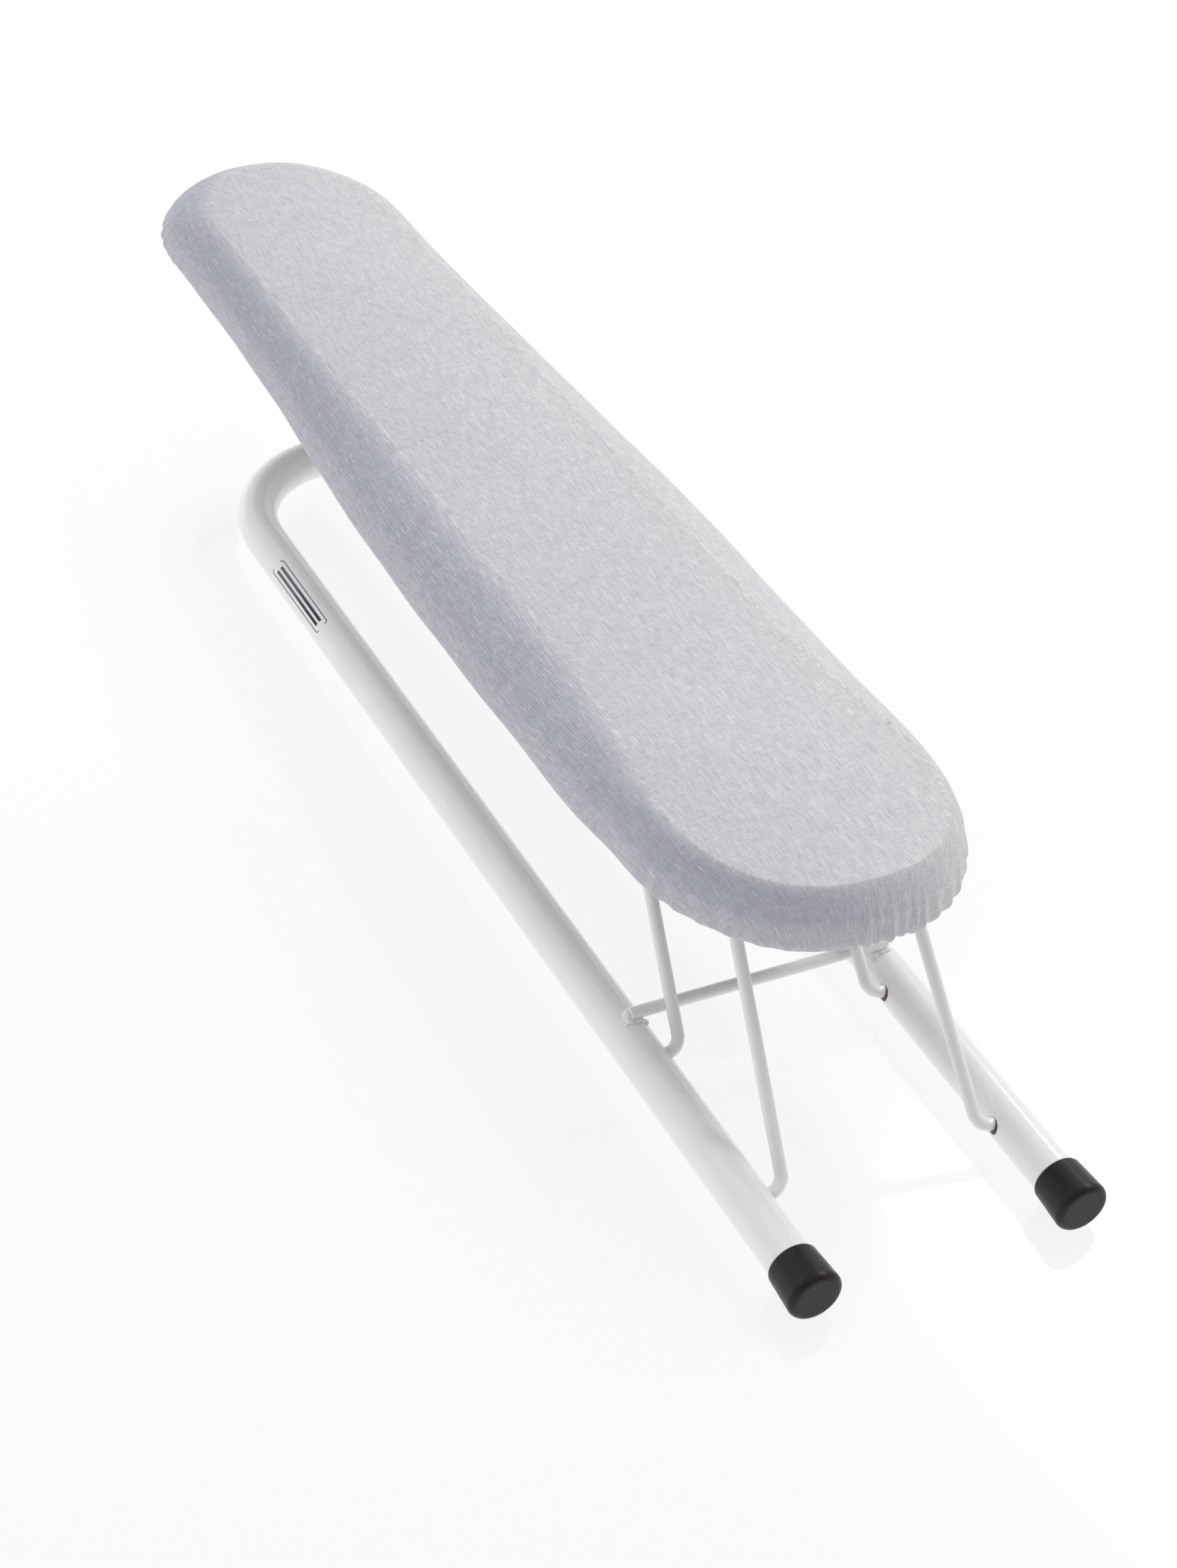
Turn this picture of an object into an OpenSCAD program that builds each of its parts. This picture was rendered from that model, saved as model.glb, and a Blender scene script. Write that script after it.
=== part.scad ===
/* [Base tube] */
// Outside diameter of the steel tube
tube_d = 16; // [14:1:20]
// Wall thickness of the tube
tube_wall = 1.2; // [0.8:0.1:1.6]
// Distance between the centre lines of the two tube legs
base_w = 100; // [90:1:120]
// Length of the base, from the U-bend to the end faces of the caps
base_l = 494; // [420:1:560]

/* [End caps] */
// Length of a cap
cap_l = 16; // [12:1:22]
// Largest diameter of a cap, near its closed end
cap_d = 19.3; // [18.6:0.1:24]
// Diameter of a cap at its open rim
cap_rim_d = 17.6; // [17.2:0.1:22]
// Thickness of the closed end
cap_end_t = 2.2; // [1.5:0.1:4]

/* [Wire parts] */
// Diameter of the coated steel wire
wire_d = 4.5; // [4:0.1:6]
// Distance from the cap ends to the front bow's holes
front_hole_x = 44; // [36:1:60]
// Distance from the cap ends to the rear bow's holes
rear_hole_x = 113.5; // [100:0.5:130]
// Height of the holes above the tube's centre line
hole_z = 1.5; // [0:0.5:2]
// Lean of the bows from upright when the board is set up
lean = 41.7; // [35:0.1:50]
// Width of a bow at its foot, between the wire centre lines
bow_foot_w = 74; // [60:1:80]
// Width of a bow at the board
bow_top_w = 62.6; // [56:0.2:70]

/* [Board] */
// Length of the covered board
board_l = 528; // [480:1:560]
// Greatest width of the covered board
board_w = 125; // [110:1:140]
// Width of the covered board where the nose begins to round off
nose_w = 102; // [90:1:125]
// Distance from the cap ends back to the wide end of the board
board_back = 66; // [50:1:80]
// Height of the ironing surface above the tube's centre line
board_top_z = 95.3; // [85:0.1:110]
// Thickness of the covered board
board_t = 23; // [20:0.5:30]
// Slope of the board, down towards the nose
board_slope = 0.8; // [0:0.1:1.5]
// Thickness of the cover fabric
cover_t = 0.9; // [0.6:0.1:1.4]
// Thickness of the pad above the steel plate
pad_t = 8.4; // [5:0.1:10]
// Thickness of the steel plate
plate_t = 0.8; // [0.6:0.1:1.2]
// Width of the hem folded under the board
hem_w = 17; // [12:1:22]

/* [Hidden] */
$fn = 64;

// Running clearance, per side, of a wire in its hole or channel
clearance = 0.08;
// Gap left between the rear bow and the crossbar that stops it
stop_gap = 0.1;

tube_r = tube_d / 2;
cap_r = cap_d / 2;
wire_r = wire_d / 2;
hole_r = wire_r + clearance;

// Along the length, the object runs from the board's nose to the end faces of the caps.
length = board_back + board_l;
cap_x = length / 2;
tube_end_x = cap_x - cap_end_t;
bend_r = base_w / 2;
bend_x = cap_x - base_l + tube_r + bend_r;
front_pivot_x = cap_x - front_hole_x;
rear_pivot_x = cap_x - rear_hole_x;

// The caps are thicker than the tube, so the base leans a little, down towards the U-bend.
cap_round = 2.4;
cap_widest_x = cap_x - cap_round;
tilt = asin((cap_r - tube_r) / (cap_widest_x - bend_x + bend_r));
ground_z = cap_r * cos(tilt) - cap_widest_x * sin(tilt);

// Board heights, measured from the tube's centre line
plate_top_z = board_top_z - cover_t - pad_t;
plate_under_z = plate_top_z - plate_t;
board_under_z = board_top_z - board_t;
widest_z = board_under_z + 4.7;
rim_under_z = board_under_z + 3.2;
rim_inset = 10;

// Bows
bow_top_z = plate_under_z - hole_r;
bow_l = (bow_top_z - hole_z) / cos(lean);
foot_bend_r = 5.5;
top_bend_r = 6.5;
wire_end_y = base_w / 2 - 1;

// The crossbar lies on the tubes, where the rear bow leans against it.
crossbar_z = tube_r + wire_r - 0.25;
crossbar_off = wire_d + stop_gap;
crossbar_along = (crossbar_z - hole_z + crossbar_off * sin(lean)) / cos(lean);
crossbar_x = rear_pivot_x - crossbar_along * sin(lean) - crossbar_off * cos(lean);

// Bracket under the board
bracket_w = 46;
bracket_t = 1;
bracket_tab = 13;
front_wire_x = front_pivot_x - bow_l * sin(lean);
rear_wire_x = rear_pivot_x - bow_l * sin(lean);
// Where the front wire lies in the board's own frame, which slopes about the rear wire
front_channel_x = rear_wire_x + (front_wire_x - rear_wire_x) * cos(board_slope);
front_channel_z = bow_top_z - (front_wire_x - rear_wire_x) * sin(board_slope);
channels = [[front_channel_x, front_channel_z], [rear_wire_x, bow_top_z]];
rivet_r = 1.6;
rivet_head_r = 3.2;
rivet_head_t = 0.9;
rivet_y = 14;
rivet_xs = [front_channel_x + 8.5, front_channel_x - 9.5, rear_wire_x + 9.5, rear_wire_x - 8.5];

// Stiffening rib pressed across the plate
rib_x = -130;
rib_r = 2.2;

// Outline of the covered board, seen from above
wide_x = cap_x - board_back;
nose_x = -cap_x;
wide_round = 92;
nose_round = 60;
wide_power = 2.35;
nose_power = 2.2;
taper_from = 24;
taper_to = -213;
outline_steps = 40;

// Cross-section of the covered board: its flank leans in most at mid-length and is steep at the wide end
flank_in = 24;
flank_in_wide = 8;
flank_in_nose = 15;
flank_in_power = 1.25;
flank_rise_power = 1.4;
flank_steps = 6;
tuck_in = 5;
tuck_steps = 3;

function smooth(t) = let (u = min(1, max(0, t))) u * u * (3 - 2 * u);
function side(x) = (board_w - (board_w - nose_w) * smooth((taper_from - x) / (taper_from - taper_to))) / 2;
function round_off(reach, r, power) = reach >= r ? 1 : pow(1 - pow(1 - reach / r, power), 1 / power);
function half_width(x) = side(x) * round_off(max(0, wide_x - x), wide_round, wide_power)
    * round_off(max(0, x - nose_x), nose_round, nose_power);
// Stations along the board, closer together towards both ends
function station(i) = (wide_x + nose_x) / 2 + (wide_x - nose_x) / 2 * cos(180 * i / outline_steps)
    * (1 + 0.08 * pow(sin(180 * i / outline_steps), 2));
outline = concat([for (i = [0 : outline_steps]) [station(i), half_width(station(i))]],
    [for (i = [outline_steps - 1 : -1 : 1]) [station(i), -half_width(station(i))]]);
count = len(outline);
function inward(i) = let (d = outline[(i + 1) % count] - outline[(i + count - 1) % count])
    [-d[1], d[0]] / norm(d);
function lean_in(x) = flank_in - (flank_in - flank_in_wide) * smooth((x - 80) / 140)
    - (flank_in - flank_in_nose) * smooth((-10 - x) / 160);
function inset(amount, share = 0) = [for (i = [0 : count - 1])
    outline[i] + (amount + share * lean_in(outline[i][0])) * inward(i)];
function ring(p) = [for (q = inset(p[0], p[2])) [q[0], q[1], p[1]]];

// Points of the section, as distance in from the outline, height, and share of the flank's lean added
// to that distance, for a layer t below the skin
function flank(t) = [for (i = [flank_steps : -1 : 0]) let (a = 90 * i / flank_steps)
    [t, widest_z + (board_top_z - t - widest_z) * pow(sin(a), 2 / flank_rise_power),
    1 - pow(cos(a), 2 / flank_in_power)]];
function tuck(t) = [for (i = [1 : tuck_steps]) let (a = 90 * i / tuck_steps)
    [t + (tuck_in - t) * (1 - cos(a)), widest_z - (widest_z - board_under_z - t) * sin(a), 0]];
function reversed(v) = [for (i = [len(v) - 1 : -1 : 0]) v[i]];

// A solid through a list of section points, closed by a flat face at each end of the list. Its quads are
// split the same way whether the list goes down or up, so that two lofts lie against each other.
module loft(section) {
    rows = len(section);
    points = [for (p = section) each ring(p)];
    sides = [for (k = [0 : rows - 2], i = [0 : count - 1])
        let (j = (i + 1) % count, a = k * count, b = a + count)
        each (section[k][1] > section[k + 1][1] ? [[a + i, a + j, b + j], [a + i, b + j, b + i]]
            : [[a + i, a + j, b + i], [a + j, b + j, b + i]])];
    first = [[for (i = [count - 1 : -1 : 0]) i]];
    last = [[for (i = [0 : count - 1]) (rows - 1) * count + i]];
    polyhedron(points, concat(first, sides, last));
}

// A round bar or tube along a path in the XY plane, with a bend of radius r at each corner.
// A straight run goes a little way into its bends, which are a hair off its diameter, to join cleanly.
module bar(path, r, d, bend_d) {
    run_in = 0.2;
    n = len(path);
    heading = [for (i = [0 : n - 2]) let (v = path[i + 1] - path[i]) atan2(v[1], v[0])];
    turn = [for (i = [1 : n - 2]) let (t = heading[i] - heading[i - 1])
        t > 180 ? t - 360 : t < -180 ? t + 360 : t];
    trim = concat([0], [for (i = [0 : n - 3]) r[i] * tan(abs(turn[i]) / 2)], [0]);
    for (i = [0 : n - 2]) {
        before = i > 0 ? run_in : 0;
        after = i < n - 2 ? run_in : 0;
        run = norm(path[i + 1] - path[i]) - trim[i] - trim[i + 1] + before + after;
        translate(path[i]) rotate([0, 0, heading[i]]) translate([trim[i] - before, 0, 0])
            rotate([0, 90, 0]) cylinder(d = d, h = run);
    }
    for (i = [1 : n - 2]) {
        t = turn[i - 1];
        side = t > 0 ? 1 : -1;
        in = [cos(heading[i - 1]), sin(heading[i - 1])];
        centre = path[i] - trim[i] * in + side * r[i - 1] * [-in[1], in[0]];
        translate(centre) rotate([0, 0, heading[i - 1] - side * 90 + min(t, 0)])
            rotate_extrude(angle = abs(t)) translate([r[i - 1], 0]) circle(d = bend_d);
    }
}

// Sets a piece drawn about the tube's centre line on the ground
module placed() translate([0, 0, ground_z]) rotate([0, -tilt, 0]) children();

// Sets a piece of the board, drawn level, on the bows
module on_bows() placed() translate([rear_wire_x, 0, bow_top_z]) rotate([0, -board_slope, 0])
    translate([-rear_wire_x, 0, -bow_top_z]) children();

module base_path(end_x, d) {
    x = bend_x - bend_r;
    y = base_w / 2;
    bar([[end_x, y], [x, y], [x, -y], [end_x, -y]], [bend_r, bend_r], d, d - 0.02);
}

module tube_hole(x, side) translate([x, side * base_w / 2, hole_z])
    rotate([90 * side, 0, 0]) cylinder(r = hole_r, h = tube_d);

module base_tube() color("white") placed() difference() {
    base_path(tube_end_x, tube_d);
    base_path(tube_end_x + 1, tube_d - 2 * tube_wall);
    for (x = [front_pivot_x, rear_pivot_x], side = [-1, 1]) tube_hole(x, side);
}

module end_cap(side) color("black") placed() translate([cap_x, side * base_w / 2, 0])
    rotate([0, -90, 0]) rotate_extrude() polygon(concat([[0, 0]],
        [for (a = [-90 : 15 : 0]) [cap_r - cap_round + cap_round * cos(a), cap_round + cap_round * sin(a)]],
        [[cap_rim_d / 2, cap_l - 0.5], [cap_rim_d / 2 - 0.3, cap_l], [tube_r, cap_l],
        [tube_r, cap_end_t], [0, cap_end_t]]));

module left_end_cap() end_cap(-1);
module right_end_cap() end_cap(1);

module tube_legs(d) for (side = [-1, 1]) translate([bend_x, side * base_w / 2, 0])
    rotate([0, 90, 0]) cylinder(d = d, h = tube_end_x - bend_x);

module crossbar_rod() translate([crossbar_x, base_w / 2, crossbar_z])
    rotate([90, 0, 0]) cylinder(r = wire_r, h = base_w);

module crossbar() color("white") placed() difference() {
    crossbar_rod();
    tube_legs(tube_d);
}

module crossbar_welds() color("gainsboro") placed() difference() {
    for (side = [-1, 1], dx = [-2.2, 2.2], dy = [5.4, 2.6, -0.2])
        translate([crossbar_x + dx, side * (base_w / 2 - dy), sqrt(pow(tube_r, 2) - pow(dy, 2))])
            sphere(r = 1.7, $fn = 24);
    tube_legs(tube_d);
    crossbar_rod();
}

module bow(pivot_x) color("white") placed() translate([pivot_x, 0, hole_z])
    rotate([0, -lean, 0]) rotate([90, 0, 90])
        bar([[wire_end_y, 0], [bow_foot_w / 2, 0], [bow_top_w / 2, bow_l], [-bow_top_w / 2, bow_l],
            [-bow_foot_w / 2, 0], [-wire_end_y, 0]],
            [foot_bend_r, top_bend_r, top_bend_r, foot_bend_r], wire_d, wire_d + 0.05);

module front_bow() bow(front_pivot_x);
module rear_bow() bow(rear_pivot_x);

module rivet_holes(r) for (x = rivet_xs, y = [-rivet_y, rivet_y])
    translate([x, y, plate_under_z - 5]) cylinder(r = r, h = 10);

module board_plate() color("silver") on_bows() difference() {
    translate([0, 0, rim_under_z]) linear_extrude(plate_top_z - rim_under_z) polygon(inset(rim_inset));
    translate([0, 0, rim_under_z - 1]) linear_extrude(plate_under_z - rim_under_z + 1)
        polygon(inset(rim_inset + plate_t));
    rivet_holes(rivet_r);
}

module plate_rib() color("silver") on_bows() intersection() {
    translate([rib_x, 0, plate_under_z]) rotate([90, 0, 0]) cylinder(r = rib_r, h = 84, center = true);
    translate([rib_x - 5, -50, plate_under_z - 5]) cube([10, 100, 5]);
}

// A trough along Y round the wire at place, open upwards to the plate
module channel(place, r, w, rise) translate([place[0], 0, place[1]]) rotate([90, 0, 0]) {
    cylinder(r = r, h = w, center = true);
    translate([-r, 0, -w / 2]) cube([2 * r, rise, w]);
}

module bow_bracket() color("gray") on_bows() difference() {
    union() {
        translate([rear_wire_x - bracket_tab, -bracket_w / 2, plate_under_z - bracket_t])
            cube([front_channel_x - rear_wire_x + 2 * bracket_tab, bracket_w, bracket_t]);
        for (place = channels) channel(place, hole_r + bracket_t, bracket_w, plate_under_z - place[1]);
    }
    for (place = channels) channel(place, hole_r, base_w, 10);
    rivet_holes(rivet_r);
}

module bracket_rivets() color("dimgray") on_bows() for (x = rivet_xs, y = [-rivet_y, rivet_y])
    translate([x, y, 0]) {
        translate([0, 0, plate_under_z - bracket_t]) cylinder(r = rivet_r, h = bracket_t + plate_t);
        translate([0, 0, plate_under_z - bracket_t - rivet_head_t])
            cylinder(r = rivet_head_r, h = rivet_head_t);
    }

module foam_pad() color("beige") on_bows() loft(concat(flank(cover_t),
    [[cover_t + 0.8, rim_under_z, 0], [rim_inset, rim_under_z, 0], [rim_inset, plate_top_z, 0]]));

module cover() color("lightsteelblue") on_bows() loft(concat(flank(0), tuck(0),
    [[hem_w, board_under_z, 0], [hem_w, board_under_z + cover_t, 0]],
    reversed(tuck(cover_t)), reversed(flank(cover_t))));

// An elastic tape on the inside of the hem, round the outline's points from one index to another
module elastic(from, to) color("ivory") on_bows() translate([0, 0, board_under_z + cover_t])
    linear_extrude(1) polygon(concat([for (i = [from : to]) inset(hem_w - 7)[(i + count) % count]],
        [for (i = [to : -1 : from]) inset(hem_w - 1)[(i + count) % count]]));

module front_elastic() elastic(-9, 9);
module nose_elastic() elastic(outline_steps - 9, outline_steps + 9);

base_tube();
left_end_cap();
right_end_cap();
crossbar();
crossbar_welds();
front_bow();
rear_bow();
board_plate();
plate_rib();
bow_bracket();
bracket_rivets();
foam_pad();
cover();
front_elastic();
nose_elastic();
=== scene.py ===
"""Looks of the table-top sleeve ironing board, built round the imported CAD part.

Shapes are worked out in millimetres. placed() and on_bows() bring them to metres, in the part's
frame.
"""
import math

import bmesh
import bpy
import numpy as np
from mathutils import Matrix, Vector


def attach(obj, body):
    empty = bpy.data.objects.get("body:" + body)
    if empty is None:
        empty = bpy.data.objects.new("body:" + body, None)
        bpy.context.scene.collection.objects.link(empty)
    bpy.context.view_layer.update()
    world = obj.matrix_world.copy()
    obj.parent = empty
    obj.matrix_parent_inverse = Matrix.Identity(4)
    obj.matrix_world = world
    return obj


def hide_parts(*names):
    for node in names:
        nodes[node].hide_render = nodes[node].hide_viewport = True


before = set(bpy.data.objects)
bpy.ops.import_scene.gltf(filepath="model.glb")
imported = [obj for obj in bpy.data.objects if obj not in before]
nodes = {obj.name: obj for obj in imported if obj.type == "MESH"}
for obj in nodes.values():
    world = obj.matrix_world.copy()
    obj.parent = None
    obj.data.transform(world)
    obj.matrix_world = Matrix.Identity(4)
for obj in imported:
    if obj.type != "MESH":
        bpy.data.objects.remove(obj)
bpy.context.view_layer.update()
rng = np.random.default_rng(11)

# -------------------------------------------------- the part's own dimensions, in millimetres
# heights are above the tube's centre line, and x = 0 is halfway along the part
BOARD_W, NOSE_W, WIDE_X, NOSE_X = 125.0, 102.0, 231.0, -297.0
TOP_Z, UNDER_Z, WIDEST_Z = 95.3, 72.3, 77.0
HEM_W, HEM_T = 17.0, 2.3
HEM_FROM, HEM_BACK_TO = 5.0, 9.0  # how far in from the outline the hem and its turned edge start
TUBE_R, TUBE_Y = 8.0, 50  # the tube's radius, and the place of both tubes either side of the middle
CAP_R, CAP_X, CAP_LIFT, STAND_L = 9.65, 294.6, 1.65, 483.6  # the fatter caps lift the tubes' ends
TILT = math.asin(CAP_LIFT / STAND_L)
GROUND_Z = CAP_R * math.cos(TILT) - CAP_X * math.sin(TILT)
HOLES, HOLE_Z = (253.0, 183.5), 1.5  # the bows' holes in the tubes' inner walls
CROSSBAR_X = 169.72
SLOPE, REAR_WIRE = math.radians(0.8), (111.002, 82.87)  # the board's slope, about this wire


def placed(points):
    """Points drawn level, in millimetres, as the part stands on the table, in metres."""
    x, y, z = np.moveaxis(np.asarray(points, float), -1, 0)
    c, s = math.cos(TILT), math.sin(TILT)
    return np.stack([x * c - z * s, y, x * s + z * c + GROUND_Z], -1) * 0.001


def on_bows(points):
    """Points of the board, drawn level, as it slopes on its bows."""
    x, y, z = np.moveaxis(np.asarray(points, float), -1, 0)
    c, s = math.cos(SLOPE), math.sin(SLOPE)
    x, z = x - REAR_WIRE[0], z - REAR_WIRE[1]
    return placed(np.stack([REAR_WIRE[0] + x * c - z * s, y, REAR_WIRE[1] + x * s + z * c], -1))


# -------------------------------------------------- camera, light and table
def add_camera():
    eye, aim = Vector((0.8386, -0.4882, 0.7479)), Vector((0.0446, 0.0, 0.0088))
    roll = math.radians(7)
    ahead = (aim - eye).normalized()
    right = ahead.cross(Vector((0, 0, 1))).normalized()
    up = right.cross(ahead)
    side = math.cos(roll) * right + math.sin(roll) * up
    top = -math.sin(roll) * right + math.cos(roll) * up
    data = bpy.data.cameras.new("camera")
    data.sensor_width, data.lens, data.clip_start, data.clip_end = 36, 74.41, 0.05, 50
    cam = bpy.data.objects.new("camera", data)
    cam.matrix_world = Matrix.Translation(eye) @ Matrix((side, top, -ahead)).transposed().to_4x4()
    bpy.context.scene.collection.objects.link(cam)
    bpy.context.scene.camera = cam


def add_key_light():
    """A long, narrow soft light over the far side, which the tubes show as one bright line."""
    place, aim = Vector((-0.15, 1.5, 1.8)), Vector((0, 0, 0.08))
    data = bpy.data.lights.new("key", "AREA")
    data.shape, data.size, data.size_y = "RECTANGLE", 2.2, 0.3
    data.energy, data.color = 21, (1, 0.992, 0.975)
    lamp = bpy.data.objects.new("key", data)
    lamp.location = place
    lamp.rotation_mode = "QUATERNION"
    lamp.rotation_quaternion = (aim - place).to_track_quat("-Z", "Y")
    bpy.context.scene.collection.objects.link(lamp)


def rgba(value):
    """A colour with its alpha; any other value as it is."""
    return (*value, 1.0) if isinstance(value, tuple) and len(value) == 3 else value


class Nodes:
    """Short ways of adding and joining shader nodes."""

    def __init__(self, tree):
        self.tree = tree

    def add(self, kind, **values):
        node = self.tree.nodes.new(kind)
        for key, value in values.items():
            setattr(node, key, value)
        return node

    def put(self, value, socket):
        if isinstance(value, bpy.types.NodeSocket):
            self.tree.links.new(value, socket)
        elif value is not None:
            socket.default_value = value

    def math(self, how, a, b=None, c=None):
        node = self.add("ShaderNodeMath", operation=how)
        for socket, value in zip(node.inputs, (a, b, c)):
            self.put(value, socket)
        return node.outputs[0]

    def vec(self, how, a, b):
        """Vector arithmetic whose result is a vector."""
        node = self.add("ShaderNodeVectorMath", operation=how)
        for socket, value in zip(node.inputs, (a, b)):
            self.put(value, socket)
        return node.outputs[0]

    def hypot(self, a, b):
        squares = self.math("MULTIPLY", a, a), self.math("MULTIPLY", b, b)
        return self.math("SQRT", self.math("ADD", *squares))

    def split(self, vector):
        node = self.add("ShaderNodeSeparateXYZ")
        self.put(vector, node.inputs[0])
        return node.outputs

    def join(self, x, y, z):
        node = self.add("ShaderNodeCombineXYZ")
        for socket, value in zip(node.inputs, (x, y, z)):
            self.put(value, socket)
        return node.outputs[0]

    def noise(self, vector, scale=1.0, detail=2.0, rough=0.5, stretch=(1, 1, 1)):
        node = self.add("ShaderNodeTexNoise")
        self.put(self.vec("MULTIPLY", vector, stretch), node.inputs["Vector"])
        for key, value in (("Scale", scale), ("Detail", detail), ("Roughness", rough)):
            self.put(value, node.inputs[key])
        return node.outputs[0]

    def step(self, value, low, high, to_low=0.0, to_high=1.0):
        """to_low up to the value low, to_high from the value high, and smooth between them."""
        node = self.add("ShaderNodeMapRange", interpolation_type="SMOOTHSTEP")
        for socket, v in zip(node.inputs, (value, low, high, to_low, to_high)):
            self.put(v, socket)
        return node.outputs[0]

    def mix(self, factor, a, b, blend="MIX"):
        node = self.add("ShaderNodeMix", data_type="RGBA", blend_type=blend)
        for socket, value in ((node.inputs[0], factor), (node.inputs[6], a), (node.inputs[7], b)):
            self.put(rgba(value), socket)
        return node.outputs[2]

    def bump(self, height, distance, strength=1.0, normal=None):
        node = self.add("ShaderNodeBump")
        self.put(strength, node.inputs["Strength"])
        self.put(distance, node.inputs["Distance"])
        self.put(height, node.inputs["Height"])
        self.put(normal, node.inputs["Normal"])
        return node.outputs[0]


def material(name, build, **settings):
    """A material whose build(nodes, object coordinates in millimetres) gives its linked inputs."""
    mat = bpy.data.materials.new(name)
    mat.use_nodes = True
    tree = mat.node_tree
    tree.nodes.clear()
    n = Nodes(tree)
    out = n.add("ShaderNodeOutputMaterial")
    bsdf = n.add("ShaderNodeBsdfPrincipled")
    tree.links.new(bsdf.outputs[0], out.inputs[0])
    for key, value in settings.items():
        bsdf.inputs[key.replace("_", " ")].default_value = value
    metres = n.add("ShaderNodeTexCoord").outputs["Object"]
    place = n.vec("MULTIPLY", metres, (1000, 1000, 1000))
    for key, value in build(n, place).items():
        n.put(rgba(value), bsdf.inputs[key])
    return mat


def add_surroundings():
    """A world that is brighter towards -X and hardly changes otherwise, a key light, and a white
    table that gives off most of its brightness itself, so that it takes only a faint shadow."""
    world = bpy.data.worlds.new("studio")
    bpy.context.scene.world = world
    world.use_nodes = True
    n = Nodes(world.node_tree)
    back = world.node_tree.nodes["Background"]
    x, y, z = n.split(n.add("ShaderNodeTexCoord").outputs["Generated"])
    level = n.math("MULTIPLY_ADD", y, -0.04, 0.70)
    level = n.math("MULTIPLY_ADD", x, -0.42, level)
    level = n.math("MULTIPLY_ADD", z, 0.02, level)
    level = n.math("MAXIMUM", level, 0.16)
    n.put(n.join(level, level, n.math("MULTIPLY", level, 1.015)), back.inputs["Color"])
    add_key_light()
    bpy.ops.mesh.primitive_plane_add(size=14, location=(0, 0, 0))
    floor = bpy.context.object
    floor.name = "table"

    def build(n, place):
        soft = n.math("MULTIPLY", n.noise(place, 0.004, 2), 0.2)
        return {"Base Color": n.mix(soft, (0.06, 0.06, 0.06), (0.05, 0.05, 0.05))}

    white = material("table_white", build, Roughness=0.1, IOR=1.45,
                     Emission_Color=(1, 1, 0.999, 1), Emission_Strength=0.872)
    floor.data.materials.append(white)


bpy.context.scene.view_settings.view_transform = "Standard"
add_camera()
add_surroundings()


# -------------------------------------------------- materials
def powder_coat(n, place, base=(0.9, 0.898, 0.888)):
    """White powder coat: a fine orange peel and a very slight unevenness of tone."""
    peel = n.noise(place, 0.42, 2, 0.45)
    grain = n.noise(place, 2.6, 1, 0.5)
    tone = n.noise(place, 0.05, 3, 0.6)
    height = n.math("MULTIPLY_ADD", grain, 0.12, peel)
    return {
        "Base Color": n.mix(n.step(tone, 0.3, 0.75), base, tuple(v * 0.965 for v in base)),
        "Roughness": n.step(tone, 0.2, 0.8, 0.24, 0.32),
        "Normal": n.bump(height, 0.00002, 0.5),
    }


def tube_coat(n, place):
    """Powder coat that stops at the punched holes, brown with rust and, nearer each hole, black with
    painted shade of the hole's gap; bare steel inside the tube.
    """
    marks_dx, marks_dz = 0.75, -0.45  # the middle of the rust and painted shade, from each hole's: nearer the caps and lower
    gap_shade_r, brown_r = (2.45, 2.8), (2.8, 3.05)  # where the black painted shade of the hole's gap and its rust end
    bore_r, bore_from = (7.0, 7.3), (-130, -128)
    inputs = powder_coat(n, place)
    x, y, z = n.split(place)
    tilted = n.math("MULTIPLY", x, math.sin(TILT))
    flat_z = n.math("SUBTRACT", n.math("SUBTRACT", z, GROUND_Z + HOLE_Z), tilted)
    away = None
    for hole in HOLES:
        dx = n.math("SUBTRACT", x, hole * math.cos(TILT) + marks_dx)
        d = n.hypot(dx, n.math("ADD", flat_z, -marks_dz))
        away = d if away is None else n.math("MINIMUM", away, d)
    ragged = n.math("MULTIPLY_ADD", n.noise(place, 1.3, 3), 0.9, -0.45)
    inner_wall = n.step(n.math("ABSOLUTE", y), 44.5, 45.5, 1.0, 0.0)
    rust_and_shade = n.step(n.math("ADD", away, ragged), *brown_r, 1.0, 0.0)
    rust_and_shade = n.math("MULTIPLY", rust_and_shade, inner_wall)
    spots = n.noise(place, 1.9, 3, 0.6)
    # the black near each hole is painted shade, standing for a wider hole's dark gap; the brown
    # beyond it is rust
    rust_and_gap_shade = n.mix(spots, (0.012, 0.006, 0.004), (0.05, 0.02, 0.01))
    rust_and_gap_shade = n.mix(n.step(n.math("ADD", away, ragged), *gap_shade_r), rust_and_gap_shade, (0.27, 0.095, 0.045))
    off = n.math("SUBTRACT", n.math("ABSOLUTE", y), TUBE_Y)
    radius = n.hypot(off, n.math("SUBTRACT", flat_z, -HOLE_Z))
    inside = n.math("MULTIPLY", n.step(radius, *bore_r, 1.0, 0.0), n.step(x, *bore_from))
    colour = n.mix(inside, inputs["Base Color"], (0.22, 0.2, 0.18))
    bare = n.math("MULTIPLY", n.math("MAXIMUM", rust_and_shade, inside), 0.7)
    inputs["Base Color"] = n.mix(rust_and_shade, colour, rust_and_gap_shade)
    inputs["Roughness"] = n.math("MAXIMUM", inputs["Roughness"], bare)
    return inputs


def wire_coat(n, place):
    """The same coat on the wires, a shade greyer."""
    return powder_coat(n, place, (0.88, 0.877, 0.866))


def weld_coat(n, place):
    """Coat over weld beads, rougher in the hollows, and a little greyer there with painted shade."""
    lumps = n.noise(place, 0.9, 4, 0.6)
    base = powder_coat(n, place, (0.87, 0.868, 0.86))
    # painted shade: the low places of the lumps are greyer
    hollow_shade = n.step(lumps, 0.3, 0.5, 0.5, 0.0)
    base["Base Color"] = n.mix(hollow_shade, base["Base Color"], (0.66, 0.64, 0.61))
    base["Normal"] = n.bump(lumps, 0.0002, 0.5)
    base["Roughness"] = 0.34
    return base


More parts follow.
